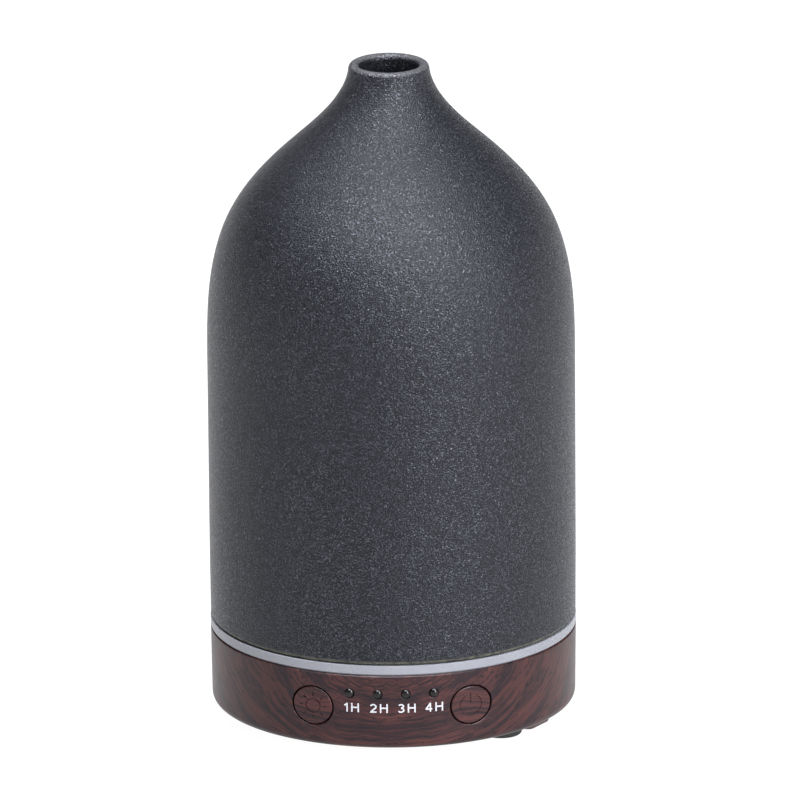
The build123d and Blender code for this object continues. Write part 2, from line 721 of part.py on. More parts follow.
def make_heat_sink():
    width, depth, height = HEAT_SINK
    x, y = HEAT_SINK_AT
    back_y = y + depth / 2
    sink = block((width, HEAT_SINK_PLATE, height), (x, back_y - HEAT_SINK_PLATE / 2), BOARD_TOP)
    for i in range(HEAT_SINK_FINS):
        fin_x = x - width / 2 + FIN_T / 2 + (width - FIN_T) * i / (HEAT_SINK_FINS - 1)
        sink += block((FIN_T, depth, height), (fin_x, y), BOARD_TOP)
    return sink


def make_driver_transistor():
    x, y = HEAT_SINK_AT
    depth = TRANSISTOR[1]
    return block(TRANSISTOR, (x, y + HEAT_SINK[1] / 2 + depth / 2), BOARD_TOP)


def make_control_chip():
    x, y = CHIP_AT
    size = (CHIP[0], CHIP[1] - 2 * CHIP_LEG[1], CHIP[2] - CHIP_STANDOFF)
    chip = block(size, CHIP_AT, BOARD_TOP + CHIP_STANDOFF)
    for i in range(CHIP_LEGS):
        leg_x = x + CHIP[0] * ((i + 0.5) / CHIP_LEGS - 0.5)
        for side in (-1, 1):
            leg_y = y + side * (CHIP[1] - CHIP_LEG[1]) / 2
            chip += block(CHIP_LEG, (leg_x, leg_y), BOARD_TOP)
    return chip


def make_display_board():
    low, high = DISPLAY_Z
    return block((2 * DISPLAY_HALF_W, BOARD_T, high - low), (0, DISPLAY_Y + BOARD_T / 2), low)


def make_board_header():
    depth = HEADER[1]
    y = DISPLAY_Y + BOARD_T + depth / 2
    header = block(HEADER, (0, y), BOARD_TOP)
    for i in range(HEADER_PINS):
        x = HEADER_PITCH * (i - (HEADER_PINS - 1) / 2)
        pin = block((HEADER_PIN, depth, HEADER_PIN), (x, y + depth), BOARD_TOP)
        header += pin
    return header


# ---- buttons, switches and timer lights -------------------------------------------------
def sun_icon():
    icon = Circle(SUN_R + ICON_LINE / 2) - Circle(SUN_R - ICON_LINE / 2)
    near, far = SUN_RAY
    for i in range(SUN_RAYS):
        ray = Pos((near + far) / 2, 0) * Rectangle(far - near, ICON_LINE)
        icon += Rot(0, 0, 360 * i / SUN_RAYS) * ray
    return icon


def power_icon():
    ring = Circle(POWER_R + ICON_LINE / 2) - Circle(POWER_R - ICON_LINE / 2)
    reach = 2 * POWER_R
    half = radians(POWER_GAP / 2)
    wedge = Polyline((0, 0), (reach * sin(half), reach * cos(half)),
                     (-reach * sin(half), reach * cos(half)), close=True)
    low, high = POWER_BAR
    return ring - make_face(wedge) + Pos(0, (low + high) / 2) * Rectangle(ICON_LINE, high - low)


def make_button(x, icon):
    cap = peg(BUTTON_R, x, BUTTON_Z, -BODY_R, FLANGE_Y[0]) & base_block()
    cap = fillet(front_edges(cap, x, BUTTON_Z, BUTTON_R), BUTTON_EDGE)
    groove = front_plane(x, COLLAR_Y, BUTTON_Z) * extrude(icon, BODY_R)
    groove -= post(-outer_y(0, BUTTON_Z) - ICON_DEPTH, BASE_Z, DECK_TOP)
    cap -= groove
    cap += peg(FLANGE_R, x, BUTTON_Z, *FLANGE_Y)
    return cap + peg(STEM_R, x, BUTTON_Z, FLANGE_Y[1], PLUNGER_Y[0])


def make_switch(x):
    front = DISPLAY_Y - SWITCH_T
    size = (SWITCH_SIDE, SWITCH_T, SWITCH_SIDE)
    body = block(size, (x, DISPLAY_Y - SWITCH_T / 2), BUTTON_Z - SWITCH_SIDE / 2)
    bore_r, bore_d = SWITCH_BORE
    return body - peg(bore_r, x, BUTTON_Z, front, front + bore_d)


def make_plunger(x):
    return peg(PLUNGER_R, x, BUTTON_Z, *PLUNGER_Y)


def make_timer_lens():
    """Four smoky light pins with domed tips, moulded on one bar."""
    width, depth, height = PIPE_BAR
    lens = block((width, depth, height), (0, PIPE_BAR_Y - depth / 2), TIMER_Z - height / 2)
    for x in timer_xs():
        tip = outer_y(x, TIMER_Z) - TIMER_PROUD
        pin = peg(TIMER_PIN_R, x, TIMER_Z, tip, PIPE_PIN_BACK)
        dome = Pos(x, tip + TIMER_DOME_R, TIMER_Z) * Sphere(TIMER_DOME_R)
        lens += pin & (dome + peg(TIMER_DOME_R, x, TIMER_Z, tip + TIMER_DOME_R, PIPE_PIN_BACK))
    return lens


def make_timer_leds():
    width, depth, height = SMD
    place = DISPLAY_Y - depth / 2
    return Compound(children=[block(SMD, (x, place), TIMER_Z - height / 2) for x in timer_xs()])


# ---- power inlet ------------------------------------------------------------------------
def make_power_jack():
    width, depth, height = JACK_BODY
    middle = BOARD_TOP + height / 2
    nose_r, nose_y = JACK_NOSE
    jack = block(JACK_BODY, (JACK_X, JACK_BACK_Y - depth / 2), BOARD_TOP)
    jack += peg(nose_r, JACK_X, middle, JACK_BACK_Y, nose_y)
    bore_r, bore_d = JACK_BORE
    return jack - peg(bore_r, JACK_X, middle, nose_y - bore_d, nose_y)


def make_jack_pin():
    middle = BOARD_TOP + JACK_BODY[2] / 2
    nose_y = JACK_NOSE[1]
    pin = peg(JACK_PIN_R, JACK_X, middle, nose_y - JACK_BORE[1], nose_y - JACK_PIN_SHORT)
    return fillet(pin.edges().filter_by(GeomType.CIRCLE).sort_by(Axis.Y)[-1:], JACK_PIN_R / 2)


# ---- internal leads ---------------------------------------------------------------------
def make_piezo_leads():
    leads = []
    for side in (-1, 1):
        top_x, low_x = [side * x for x in PIEZO_LEAD_X]
        points = [
            (top_x, 0, PIEZO_Z - PIEZO_PAD[1]),
            (top_x, 0, PIEZO_Z - PIEZO_LEAD_RUN),
            (low_x, PIEZO_LEAD_Y, BOARD_TOP + PIEZO_LEAD_RUN),
            (low_x, PIEZO_LEAD_Y, BOARD_TOP),
        ]
        leads.append(lead(points, LEAD_BEND))
    return Compound(children=leads)


def make_fan_leads():
    start_x = FAN_AT[0] + FAN_SIDE / 2
    end_x = start_x + FAN_LEAD_REACH
    high = BOARD_TOP + FAN_LEAD_RISE
    leads = []
    for y in FAN_LEAD_Y:
        points = [(start_x, y, high), (end_x, y, high), (end_x, y, BOARD_TOP)]
        leads.append(lead(points, LEAD_BEND))
    return Compound(children=leads)


def make_light_leads():
    x, y = LIGHT_LEAD_AT
    leads = []
    for side in (-1, 1):
        lane = y + side * LIGHT_LEAD_SPREAD
        points = [
            (x - LIGHT_LEAD_RUN, lane, BOARD_TOP),
            (x - LIGHT_LEAD_RUN, lane, BOARD_TOP + LIGHT_LEAD_RUN),
            (x, lane, DECK_UNDER - LIGHT_LEAD_RUN),
            (x, lane, DECK_TOP),
        ]
        leads.append(lead(points, LIGHT_LEAD_BEND))
    return Compound(children=leads)


PARTS = {
    "ceramic_shell": make_ceramic_shell,
    "inner_lid": make_inner_lid,
    "water_tank": make_water_tank,
    "air_tower": make_air_tower,
    "tank_gasket": make_tank_gasket,
    "tank_screws": make_tank_screws,
    "light_ring": make_light_ring,
    "light_board": make_light_board,
    "ring_leds": make_ring_leds,
    "base_housing": make_base_housing,
    "bottom_cover": make_bottom_cover,
    "cover_screws": make_cover_screws,
    "piezo_seal": make_piezo_seal,
    "piezo_disc": make_piezo_disc,
    "piezo_clamp": make_piezo_clamp,
    "clamp_screws": make_clamp_screws,
    "fan_frame": make_fan_frame,
    "fan_stator": make_fan_stator,
    "fan_rotor": make_fan_rotor,
    "fan_duct": make_fan_duct,
    "main_board": make_main_board,
    "board_screws": make_board_screws,
    "driver_coil": make_driver_coil,
    "coil_winding": make_coil_winding,
    "filter_capacitor": make_filter_capacitor,
    "heat_sink": make_heat_sink,
    "driver_transistor": make_driver_transistor,
    "control_chip": make_control_chip,
    "display_board": make_display_board,
    "board_header": make_board_header,
    "light_button": lambda: make_button(-BUTTON_X, sun_icon()),
    "power_button": lambda: make_button(BUTTON_X, power_icon()),
    "light_switch": lambda: make_switch(-BUTTON_X),
    "power_switch": lambda: make_switch(BUTTON_X),
    "light_switch_plunger": lambda: make_plunger(-BUTTON_X),
    "power_switch_plunger": lambda: make_plunger(BUTTON_X),
    "timer_lens": make_timer_lens,
    "timer_leds": make_timer_leds,
    "power_jack": make_power_jack,
    "jack_pin": make_jack_pin,
    "piezo_leads": make_piezo_leads,
    "fan_leads": make_fan_leads,
    "light_leads": make_light_leads,
}

os.makedirs("parts", exist_ok=True)
for node, make in PARTS.items():
    export_step(make(), f"parts/{node}.step")
for node, angle in FOOT_ANGLES.items():
    export_step(make_foot(polar(FOOT_AT_R, angle)), f"parts/{node}.step")
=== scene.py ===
import json
import math

import bmesh
import bpy
from mathutils import Matrix, Vector


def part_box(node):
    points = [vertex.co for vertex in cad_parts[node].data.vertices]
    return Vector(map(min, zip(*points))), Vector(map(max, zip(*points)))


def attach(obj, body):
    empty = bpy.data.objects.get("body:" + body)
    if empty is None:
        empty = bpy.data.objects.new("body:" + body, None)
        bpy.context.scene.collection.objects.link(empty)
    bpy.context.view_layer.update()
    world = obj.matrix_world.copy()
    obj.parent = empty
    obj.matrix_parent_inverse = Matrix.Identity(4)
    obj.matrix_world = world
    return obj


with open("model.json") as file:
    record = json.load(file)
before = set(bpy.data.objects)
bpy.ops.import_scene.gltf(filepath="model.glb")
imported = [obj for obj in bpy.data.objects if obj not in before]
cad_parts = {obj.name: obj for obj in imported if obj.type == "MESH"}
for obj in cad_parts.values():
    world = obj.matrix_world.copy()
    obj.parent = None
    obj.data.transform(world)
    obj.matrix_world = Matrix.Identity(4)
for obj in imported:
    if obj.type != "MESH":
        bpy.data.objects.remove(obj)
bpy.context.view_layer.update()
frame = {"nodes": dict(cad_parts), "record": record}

MM = 0.001
NODES = frame["nodes"]

# ---- places read from the frame ------------------------------------------------------------
BASE_LOW, BASE_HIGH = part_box("base_housing")
SHELL_LOW, SHELL_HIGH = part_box("ceramic_shell")
BASE_Z = BASE_LOW.z
DECK_Z = BASE_HIGH.z
BODY_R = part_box("light_ring")[1].x
TOP_Z = SHELL_HIGH.z

# ---- the view ------------------------------------------------------------------------------
ELEVATION = math.radians(17.2)
YAW = math.radians(0.75)
ROLL = math.radians(0.474)
DISTANCE = 7.5
VIEW_HEIGHT = 203.9256 * MM  # what the picture's height takes in, at the aim point
AIM_RIGHT = 1.53 * MM  # the aim point, from the middle of the base's lower edge
AIM_UP = 74.94 * MM
SENSOR = 36.0
CLIP_END = 100.0


def view_axes():
    """The camera's right, up and backward directions."""
    level = math.cos(ELEVATION)
    back = Vector((math.sin(YAW) * level, -math.cos(YAW) * level, math.sin(ELEVATION)))
    right = Vector((math.cos(YAW), math.sin(YAW), 0))
    up = back.cross(right)
    tilt = Matrix.Rotation(-ROLL, 3, back)
    return tilt @ right, tilt @ up, back


def add_camera():
    """A far camera with a long lens, so that the view is nearly without perspective."""
    right, up, back = view_axes()
    aim = Vector((0, 0, BASE_Z)) + right * AIM_RIGHT + up * AIM_UP
    data = bpy.data.cameras.new("camera")
    data.sensor_width = SENSOR
    data.lens = SENSOR * DISTANCE / VIEW_HEIGHT
    data.clip_end = CLIP_END
    camera = bpy.data.objects.new("camera", data)
    axes = Matrix((right, up, back)).transposed().to_4x4()
    camera.matrix_world = Matrix.Translation(aim + back * DISTANCE) @ axes
    bpy.context.scene.collection.objects.link(camera)
    bpy.context.scene.camera = camera


# ---- node helpers --------------------------------------------------------------------------
class Nodes:
    """A material's node tree, with short calls for the nodes used here."""

    def __init__(self, name):
        self.material = bpy.data.materials.new(name)
        self.material.use_nodes = True
        self.tree = self.material.node_tree
        self.bsdf = self.tree.nodes["Principled BSDF"]

    def add(self, kind, **settings):
        node = self.tree.nodes.new(kind)
        for key, value in settings.items():
            setattr(node, key, value)
        return node

    def link(self, source, target):
        self.tree.links.new(source, target)

    def feed(self, socket, value):
        if isinstance(value, bpy.types.NodeSocket):
            self.link(value, socket)
        else:
            socket.default_value = value

    def math(self, operation, *values):
        node = self.add("ShaderNodeMath", operation=operation)
        for socket, value in zip(node.inputs, values):
            self.feed(socket, value)
        return node.outputs[0]

    def times(self, value, factor):
        return self.math("MULTIPLY", value, factor)

    def weigh(self, *parts):
        """The sum of several values, each times its weight."""
        total = self.times(*parts[0])
        for part in parts[1:]:
            total = self.math("ADD", total, self.times(*part))
        return total

    def centred(self, value):
        """A value from 0 to 1, moved to lie around 0."""
        return self.math("SUBTRACT", value, 0.5)

    def position(self):
        return self.add("ShaderNodeTexCoord").outputs["Object"]

    def split(self, vector):
        node = self.add("ShaderNodeSeparateXYZ")
        self.link(vector, node.inputs[0])
        return node.outputs

    def split_color(self, color):
        node = self.add("ShaderNodeSeparateColor")
        self.link(color, node.inputs[0])
        return node.outputs

    def join(self, x, y, z):
        node = self.add("ShaderNodeCombineXYZ")
        for socket, value in zip(node.inputs, (x, y, z)):
            self.feed(socket, value)
        return node.outputs[0]

    def noise(self, vector, scale, detail=2.0, roughness=0.5):
        node = self.add("ShaderNodeTexNoise")
        self.link(vector, node.inputs["Vector"])
        node.inputs["Scale"].default_value = scale
        node.inputs["Detail"].default_value = detail
        node.inputs["Roughness"].default_value = roughness
        return node.outputs["Fac"]

    def cells(self, vector, scale, output="Distance"):
        node = self.add("ShaderNodeTexVoronoi")
        self.link(vector, node.inputs["Vector"])
        node.inputs["Scale"].default_value = scale
        return node.outputs[output]

    def spread(self, value, low, high, to_low=0.0, to_high=1.0, smooth=False):
        """Maps low..high onto to_low..to_high and holds it at both ends."""
        node = self.add("ShaderNodeMapRange", interpolation_type="SMOOTHSTEP" if smooth else "LINEAR")
        self.feed(node.inputs["Value"], value)
        node.inputs["From Min"].default_value = low
        node.inputs["From Max"].default_value = high
        node.inputs["To Min"].default_value = to_low
        node.inputs["To Max"].default_value = to_high
        return node.outputs["Result"]

    def ramp(self, value, stops):
        node = self.add("ShaderNodeValToRGB")
        self.link(value, node.inputs[0])
        elements = node.color_ramp.elements
        while len(elements) < len(stops):
            elements.new(0.5)
        for element, (place, color) in zip(elements, stops):
            element.position = place
            element.color = (*color, 1)
        return node.outputs["Color"]

    def mix(self, share, first, second):
        node = self.add("ShaderNodeMix", data_type="RGBA")
        self.feed(node.inputs[0], share)
        for socket, value in ((node.inputs[6], first), (node.inputs[7], second)):
            if isinstance(value, tuple):
                socket.default_value = (*value, 1)
            else:
                self.link(value, socket)
        return node.outputs[2]

    def bump(self, height, distance, strength=1.0):
        node = self.add("ShaderNodeBump")
        self.link(height, node.inputs["Height"])
        node.inputs["Distance"].default_value = distance
        node.inputs["Strength"].default_value = strength
        return node.outputs["Normal"]

    def set(self, **sockets):
        """Feeds the shader's sockets, named with _ for each space, and returns the material."""
        for name, value in sockets.items():
            socket = self.bsdf.inputs[name.replace("_", " ")]
            if isinstance(value, tuple) and len(value) == 3 and socket.type == "RGBA":
                value = (*value, 1)
            self.feed(socket, value)
        return self.material


# ---- materials -----------------------------------------------------------------------------
COOL_TINT = (0.94, 0.95, 1.0)

GRAIN_SCALE = 2600
SAND_SCALE = 3300
DRIFT_SCALE = 22
GLAZE_STOPS = ((0.36, (0.0012, 0.0013, 0.002)), (0.48, (0.0038, 0.0042, 0.0056)),
               (0.58, (0.020, 0.021, 0.026)), (0.70, (0.088, 0.090, 0.105)))
GLAZE_DRIFT = (0.008, 0.009, 0.012)
GLAZE_DEPTH = 0.34 * MM
BARE_LIP = (0.17, 0.165, 0.125)
BARE_LIP_H = 1.3 * MM
BARE_LIP_SURE_H = 0.4 * MM
# A paler grey round the mouth: partly worn glaze, partly a painted highlight of the lit, glinting rim.
RIM_WEAR_AND_HIGHLIGHT = (0.135, 0.133, 0.140)
RIM_WEAR_AND_HIGHLIGHT_H = 0.95 * MM
RIM_WEAR_AND_HIGHLIGHT_SURE_H = 0.35 * MM


def bare_lip(n, place, z):
    """How bare the clay is along the shell's lower edge, from 0 to 1, in patches."""
    edge = n.spread(z, SHELL_LOW.z + BARE_LIP_SURE_H, SHELL_LOW.z + BARE_LIP_H, 1, 0, smooth=True)
    patches = n.spread(n.noise(place, 500, detail=3), 0.20, 0.70)
    return n.math("MULTIPLY", edge, patches)


def rim_wear_and_highlight(n, speck, z):
    """How pale the mouth's rim is: partly worn glaze and partly a painted highlight of the lit rim, most of
    all on its grains.
    """
    edge = n.spread(z, TOP_Z - RIM_WEAR_AND_HIGHLIGHT_H, TOP_Z - RIM_WEAR_AND_HIGHLIGHT_SURE_H, 0, 0.70, smooth=True)
    return n.math("MULTIPLY", edge, n.spread(speck, 0.42, 0.58, 0.22, 1.0))


def ceramic_material():
    """Charcoal glaze with a fine glittering sand in it, paler along the lower edge and round the mouth,
    where the pale rim is partly worn glaze and partly a painted highlight.
    """
    n = Nodes("dark_ceramic")
    place = n.position()
    z = n.split(place)[2]
    grain = n.noise(place, GRAIN_SCALE, detail=1, roughness=0.6)
    sand = n.split_color(n.cells(place, SAND_SCALE, "Color"))[0]
    speck = n.weigh((grain, 0.80), (sand, 0.20))
    drift = n.spread(n.noise(place, DRIFT_SCALE, detail=3), 0.35, 0.65, 0.0, 0.25)
    body = n.mix(drift, n.ramp(speck, GLAZE_STOPS), GLAZE_DRIFT)
    body = n.mix(bare_lip(n, place, z), body, BARE_LIP)
    # Painted highlight, with some glaze wear, along the mouth's rim.
    body = n.mix(rim_wear_and_highlight(n, speck, z), body, RIM_WEAR_AND_HIGHLIGHT)
    flake = n.spread(speck, 0.48, 0.67, 0.0, 0.6)
    rough = n.spread(speck, 0.35, 0.65, 0.46, 0.26)
    return n.set(Base_Color=body, Metallic=flake, Roughness=rough, Normal=n.bump(speck, GLAZE_DEPTH),
                 IOR=1.42, Specular_IOR_Level=0.36, Specular_Tint=COOL_TINT)


WOOD_STOPS = ((0.36, (0.007, 0.005, 0.007)), (0.46, (0.018, 0.008, 0.009)),
              (0.54, (0.042, 0.014, 0.013)), (0.68, (0.068, 0.023, 0.020)))
WOOD_VEIN = (0.005, 0.004, 0.006)
WOOD_DEPTH = 0.03 * MM
ARCH_ABOVE_DECK = 4 * MM  # the middle of the nested arches, above the base's deck
ARCH_LEVEL = 1900.0  # pattern millimetres to a metre of height: over 1000 makes the arches lower
BUTTON_ARCH_Z = TOP_Z * 0.5
BUTTON_LEVEL = 1000.0
BUTTON_ACROSS = 260.0  # under 1000 stretches the grain across the button
ALONG_SCALE = 30.0


def wood_pattern(n, place, across, level):
    """Rosewood grain on nested arches around (across = 0, level = 0), in millimetres.

    Returns the broad bands, the streaks, the thin dark veins and the finest lines, each from 0 to 1."""
    warp_a = n.centred(n.noise(place, 48, detail=2, roughness=0.5))
    warp_b = n.centred(n.noise(place, 170, detail=3, roughness=0.6))
    squares = n.math("ADD", n.math("MULTIPLY", across, across), n.math("MULTIPLY", level, level))
    reach = n.weigh((n.math("SQRT", squares), 1.0), (warp_a, 8.0), (warp_b, 2.2))
    along = n.times(n.math("ARCTAN2", level, across), ALONG_SCALE)
    band_at = n.join(n.times(reach, 0.22), n.times(along, 0.04), 3.0)
    streak_at = n.join(n.times(reach, 1.15), n.times(along, 0.06), 7.0)
    vein_at = n.join(n.times(reach, 0.42), n.times(along, 0.075), 11.0)
    hair_at = n.join(n.times(reach, 3.6), n.times(along, 0.24), 15.0)
    band = n.noise(band_at, 1.0, detail=2)
    streak = n.noise(streak_at, 1.0, detail=3, roughness=0.6)
    hair = n.noise(hair_at, 1.0, detail=2, roughness=0.6)
    ridge = n.math("ABSOLUTE", n.centred(n.noise(vein_at, 1.0, detail=4, roughness=0.62)))
    vein = n.spread(ridge, 0.006, 0.032, 1.0, 0.0, smooth=True)
    return band, streak, vein, hair


def wood_material(name, flat=False):
    """Rosewood print under a satin lacquer. flat turns the grain level, as on the buttons."""
    n = Nodes(name)
    place = n.position()
    x, y, z = n.split(place)
    if flat:
        across = n.times(x, BUTTON_ACROSS)
        level = n.times(n.math("SUBTRACT", z, BUTTON_ARCH_Z), BUTTON_LEVEL)
    else:
        turn = n.math("ARCTAN2", x, n.times(y, -1.0))
        across = n.times(n.math("ABSOLUTE", turn), BODY_R / MM)
        level = n.times(n.math("SUBTRACT", z, DECK_Z + ARCH_ABOVE_DECK), ARCH_LEVEL)
    band, streak, vein, hair = wood_pattern(n, place, across, level)
    tone = n.weigh((streak, 0.42), (band, 0.36), (hair, 0.22))
    color = n.mix(n.times(vein, 0.85), n.ramp(tone, WOOD_STOPS), WOOD_VEIN)
    peel = n.noise(place, 420, detail=2)
    normal = n.bump(n.weigh((streak, 0.6), (peel, 0.4)), WOOD_DEPTH, 0.35)
    return n.set(Base_Color=color, Roughness=n.spread(hair, 0.3, 0.7, 0.32, 0.46), Normal=normal,
                 IOR=1.45, Specular_IOR_Level=0.28, Specular_Tint=COOL_TINT)


def plastic_material(name, color, roughness, grain=900, depth=0.02, mottling=0.12, **sockets):
    """Moulded plastic: a faint mottling, an eggshell grain depth millimetres deep and uneven gloss."""
    n = Nodes(name)
    place = n.position()
    cloud = n.noise(place, 45, detail=3)
    fine = n.noise(place, grain, detail=2)
    low = tuple(c * (1 - mottling) for c in color)
    high = tuple(min(1.0, c * (1 + mottling)) for c in color)
    body = n.ramp(n.weigh((cloud, 0.6), (fine, 0.4)), ((0.35, low), (0.65, high)))
    rough = n.spread(cloud, 0.3, 0.7, roughness - 0.05, roughness + 0.05)
    normal = n.bump(fine, depth * MM, 0.5)
    return n.set(Base_Color=body, Roughness=rough, Normal=normal, **sockets)


def metal_material(name, color, roughness, stretch=(1, 1, 12)):
    """Plated or drawn metal with fine streaks. stretch squeezes them along each axis."""
    n = Nodes(name)
    place = n.position()
    squeezed = n.join(*(n.times(value, factor) for value, factor in zip(n.split(place), stretch)))
    lines = n.noise(squeezed, 500, detail=3)
    cloud = n.noise(place, 120, detail=2)
    dull = tuple(c * 0.75 for c in color)
    body = n.ramp(n.weigh((lines, 0.5), (cloud, 0.5)), ((0.3, dull), (0.7, color)))
    rough = n.spread(lines, 0.3, 0.7, roughness - 0.08, roughness + 0.08)
    return n.set(Base_Color=body, Roughness=rough, Normal=n.bump(lines, 0.01 * MM, 0.4), Metallic=1.0)


def board_material(name, mask, copper):
    """Printed circuit board: solder mask over tracks, with bare pads."""
    n = Nodes(name)
    place = n.position()
    x, y = n.split(place)[:2]
    bend = n.noise(place, 90, detail=1)
    track = n.spread(n.math("PINGPONG", n.weigh((x, 900.0), (bend, 4.0)), 1.0), 0.55, 0.62)
    pad = n.spread(n.cells(n.join(x, y, 0.0), 420), 0.10, 0.07)
    color = n.mix(track, mask, tuple(min(1, c * 1.7) for c in mask))
    color = n.mix(pad, color, copper)
    return n.set(Base_Color=color, Roughness=n.spread(bend, 0.3, 0.7, 0.28, 0.4),
                 Normal=n.bump(track, 0.03 * MM, 0.5), IOR=1.5)


def ring_material():
    """Milky translucent light guide."""
    n = Nodes("frosted_ring")
    place = n.position()
    cloud = n.noise(place, 60, detail=3)
    fine = n.noise(place, 1200, detail=2)
    color = n.ramp(cloud, ((0.3, (0.168, 0.171, 0.191)), (0.7, (0.202, 0.205, 0.225))))
    rough = n.spread(fine, 0.3, 0.7, 0.30, 0.42)
    return n.set(Base_Color=color, Roughness=rough, Normal=n.bump(fine, 0.01 * MM, 0.4), IOR=1.49,
                 Subsurface_Weight=0.35, Subsurface_Radius=(0.004, 0.004, 0.005), Subsurface_Scale=0.3)


def lens_material():
    """Smoky clear moulding that looks nearly black."""
    n = Nodes("smoky_lens")
    place = n.position()
    cloud = n.noise(place, 700, detail=2)
    color = n.ramp(cloud, ((0.3, (0.003, 0.003, 0.003)), (0.7, (0.009, 0.007, 0.007))))
    return n.set(Base_Color=color, Roughness=n.spread(cloud, 0.3, 0.7, 0.10, 0.18), IOR=1.5,
                 Specular_IOR_Level=0.30)


def print_material():
    """White printing ink with a fine mottle."""
    n = Nodes("white_print")
    place = n.position()
    speck = n.noise(place, 2500, detail=2)
    color = n.ramp(speck, ((0.3, (0.34, 0.34, 0.36)), (0.6, (0.44, 0.44, 0.46))))
    return n.set(Base_Color=color, Roughness=n.spread(speck, 0.3, 0.7, 0.4, 0.55),
                 Normal=n.bump(speck, 0.01 * MM, 0.3))


def make_materials():
    """Every material by name: the record's slots, and two more for the buttons and the print."""
    return {
        "dark_ceramic": ceramic_material(),
        "wood_print": wood_material("wood_print"),
        "wood_button": wood_material("wood_button", flat=True),
        "frosted_ring": ring_material(),
        "white_plastic": plastic_material("white_plastic", (0.24, 0.24, 0.235), 0.38, mottling=0.03,
                                          Subsurface_Weight=0.15, Subsurface_Radius=(0.004, 0.004, 0.004),
                                          Subsurface_Scale=0.3),
        "brown_plastic": plastic_material("brown_plastic", (0.055, 0.026, 0.023), 0.45, depth=0.05),
        "black_plastic": plastic_material("black_plastic", (0.018, 0.018, 0.020), 0.45, depth=0.04),
        "smoky_lens": lens_material(),
        "rubber": plastic_material("rubber", (0.014, 0.014, 0.015), 0.75, grain=1400, depth=0.06),
        "silicone": plastic_material("silicone", (0.20, 0.20, 0.185), 0.55, mottling=0.05,
                                     Subsurface_Weight=0.3, Subsurface_Radius=(0.003, 0.003, 0.003)),
        "steel": metal_material("steel", (0.55, 0.55, 0.56), 0.32),
        "circuit_board": board_material("circuit_board", (0.010, 0.085, 0.030), (0.60, 0.50, 0.30)),
        "white_board": board_material("white_board", (0.15, 0.15, 0.147), (0.17, 0.15, 0.10)),
        "led_body": plastic_material("led_body", (0.40, 0.38, 0.26), 0.3, mottling=0.06),
        "piezo": metal_material("piezo", (0.72, 0.62, 0.42), 0.30, stretch=(1, 1, 1)),
        "plated_pin": metal_material("plated_pin", (0.75, 0.72, 0.62), 0.2, stretch=(1, 8, 1)),
        "ferrite": plastic_material("ferrite", (0.035, 0.035, 0.038), 0.7, depth=0.06),
        "copper_wire": metal_material("copper_wire", (0.60, 0.24, 0.10), 0.3, stretch=(0.4, 0.4, 6)),
        "aluminium": metal_material("aluminium", (0.66, 0.66, 0.68), 0.35, stretch=(1, 1, 0.1)),
        "wire_jacket": plastic_material("wire_jacket", (0.30, 0.02, 0.02), 0.4, mottling=0.2),
        "white_print": print_material(),
    }


def dress_nodes(made):
    """Gives every CAD node the detailed material of its slot."""
    slots = {row["node"]: row["material_slot"] for row in frame["record"]["subparts"]}
    for name, node in NODES.items():
        look = made["wood_button"] if name in ("light_button", "power_button") else made[slots[name]]
        node.data.materials.clear()
        node.data.materials.append(look)


# ---- pieces --------------------------------------------------------------------------------
LABEL_H = 2.36 * MM
LABEL_PITCH = 7.07 * MM
LABEL_SHIFT = 0.28 * MM  # how far right of the front the row of marks is centred
LABEL_RISE = 11.0 * MM  # the middle of the marks, above the base's lower edge
LABEL_Z = BASE_Z + LABEL_RISE
LABEL_LIFT = 0.03 * MM
STROKE_LIFT = 0.002 * MM  # how much each stroke lies above the one before, so that none share a plane
STROKE_W = 0.160  # as shares of the letter height
GLYPH_GAP = 0.32
ARC_STEPS = 14
BASE_DRAFT = 0.3 * MM


def arc(x, y, rx, ry, start, end):
    """Points along part of an ellipse, angles in degrees."""
    turns = [math.radians(start + (end - start) * i / ARC_STEPS) for i in range(ARC_STEPS + 1)]
    return [(x + rx * math.cos(t), y + ry * math.sin(t)) for t in turns]


# Each glyph: its width and its strokes, as points in shares of the letter height.
GLYPHS = {
    "1": (0.50, [[(0.38, 0.0), (0.38, 1.0)], [(0.38, 0.93), (0.26, 0.80), (0.08, 0.71)]]),
    "2": (0.76, [arc(0.38, 0.68, 0.29, 0.24, 160, -35) + [(0.10, 0.10)], [(0.05, 0.085), (0.73, 0.085)]]),
    "3": (0.76, [arc(0.37, 0.73, 0.26, 0.19, 150, -90), arc(0.37, 0.30, 0.29, 0.22, 90, -155)]),
    "4": (0.78, [[(0.56, 0.0), (0.56, 1.0)], [(0.56, 0.94), (0.10, 0.31)], [(0.04, 0.29), (0.77, 0.29)]]),
    "H": (0.88, [[(0.09, 0.0), (0.09, 1.0)], [(0.79, 0.0), (0.79, 1.0)], [(0.09, 0.53), (0.79, 0.53)]]),
}


def base_radius(z):
    """The base's outer radius at a height: it widens a little from its lower edge to its deck."""
    return BODY_R - BASE_DRAFT * (DECK_Z - z) / (DECK_Z - BASE_Z)


def wrap_on_base(x, z, lift):
    """Carries a point of a print onto the round front of the base."""
    radius = base_radius(z) + lift
    turn = x / radius
    return Vector((radius * math.sin(turn), -radius * math.cos(turn), z))


def stroke_sides(points):
    """The left and right edges of a stroke of even width along a line of points."""
    left, right = [], []
    for i, point in enumerate(points):
        here = Vector(point)
        before = here - Vector(points[i - 1]) if i else Vector(points[1]) - here
        after = Vector(points[i + 1]) - here if i + 1 < len(points) else before
        run = (before.normalized() + after.normalized()).normalized()
        side = Vector((-run.y, run.x)) * STROKE_W / 2 / max(0.5, run.dot(before.normalized()))
        left.append(here + side)
        right.append(here - side)
    return left, right


